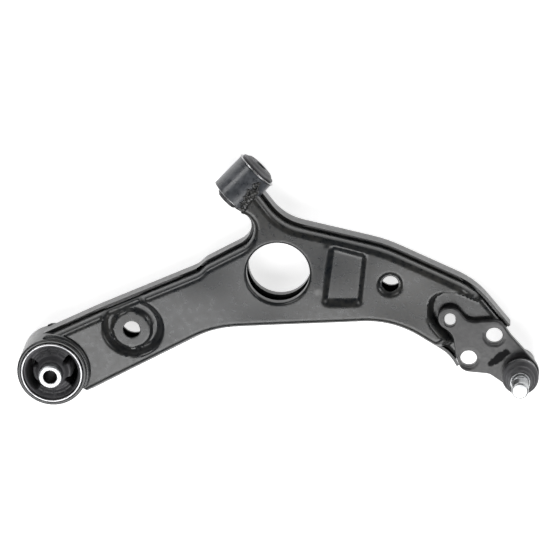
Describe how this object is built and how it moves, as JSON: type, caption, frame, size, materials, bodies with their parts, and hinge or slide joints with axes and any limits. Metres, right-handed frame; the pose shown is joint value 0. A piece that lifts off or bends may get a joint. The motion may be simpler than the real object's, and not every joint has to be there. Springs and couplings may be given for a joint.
{
  "type": "suspension control arm",
  "caption": "Pressed-steel front lower control arm with a horizontal front bush, a vertical voided rear bush and a pressed-in ball joint with an upright stud.",
  "frame": {"origin": "middle of the bounding box's footprint, at the height of the lowest faces", "axes": "+X along the arm's length, from the rear bush towards the ball joint; +Y towards the front bush; +Z along the ball stud, up"},
  "size_m": [0.5576, 0.2754, 0.0875],
  "materials": {
    "coated": "semi-gloss black electro-dip coating",
    "tube": "semi-gloss black coating over drawn tube",
    "rubber": "satin moulded rubber",
    "plated": "bright zinc plating",
    "steel": "bare steel with an oil film",
    "polymer": "natural acetal"
  },
  "bodies": {
    "arm": {"upper_shell": "coated", "lower_shell": "coated", "seam_weld_front": "coated", "seam_weld_rear": "coated", "seam_weld_lower": "coated", "front_bush_tube": "tube", "front_tube_weld_upper": "coated", "front_tube_weld_lower": "coated", "front_bush_outer_sleeve": "steel", "front_bush_rubber": "rubber", "rear_bush_housing": "coated", "rear_housing_weld_upper": "coated", "rear_housing_weld_lower": "coated", "rear_bush_outer_sleeve": "steel", "rear_bush_rubber": "rubber", "ball_joint_bracket": "coated", "bracket_weld": "coated", "ball_joint_cartridge": "coated", "ball_joint_circlip": "steel", "ball_joint_seat": "polymer", "ball_joint_cover_plate": "coated", "boot_base_ring": "steel"},
    "front_inner": {"front_bush_inner_sleeve": "steel"},
    "rear_inner": {"rear_bush_inner_sleeve": "plated"},
    "boot": {"dust_boot": "rubber"},
    "boot_neck": {"boot_neck_ring": "plated"},
    "stud": {"ball_stud": "plated"}
  },
  "joints": [
    {"name": "front_bush_twist", "type": "hinge", "parent": "arm", "child": "front_inner", "pos_m": [-0.03478, 0.10632, 0.02575], "axis": [0.7002, 0.7002, -0.1392], "range_deg": [-20, 20], "stiffness_Nm_per_rad": 60},
    {"name": "rear_bush_tilt", "type": "hinge", "parent": "arm", "child": "rear_inner", "pos_m": [-0.24125, -0.10016, 0.027], "axis": [0.7071, 0.7071, 0], "range_deg": [-12, 12], "stiffness_Nm_per_rad": 100, "deforming": ["rear_bush_rubber"]},
    {"name": "ball_swing_lengthwise", "type": "hinge", "parent": "arm", "child": "boot", "pos_m": [0.25875, -0.09916, 0.0255], "axis": [0, 1, 0], "range_deg": [-15, 15], "deforming": ["dust_boot"]},
    {"name": "ball_swing_crosswise", "type": "hinge", "parent": "boot", "child": "boot_neck", "pos_m": [0.25875, -0.09916, 0.0255], "axis": [1, 0, 0], "range_deg": [-15, 15]},
    {"name": "ball_stud_spin", "type": "hinge", "parent": "boot_neck", "child": "stud", "pos_m": [0.25875, -0.09916, 0.0255], "axis": [0, 0, 1], "continuous": true}
  ]
}
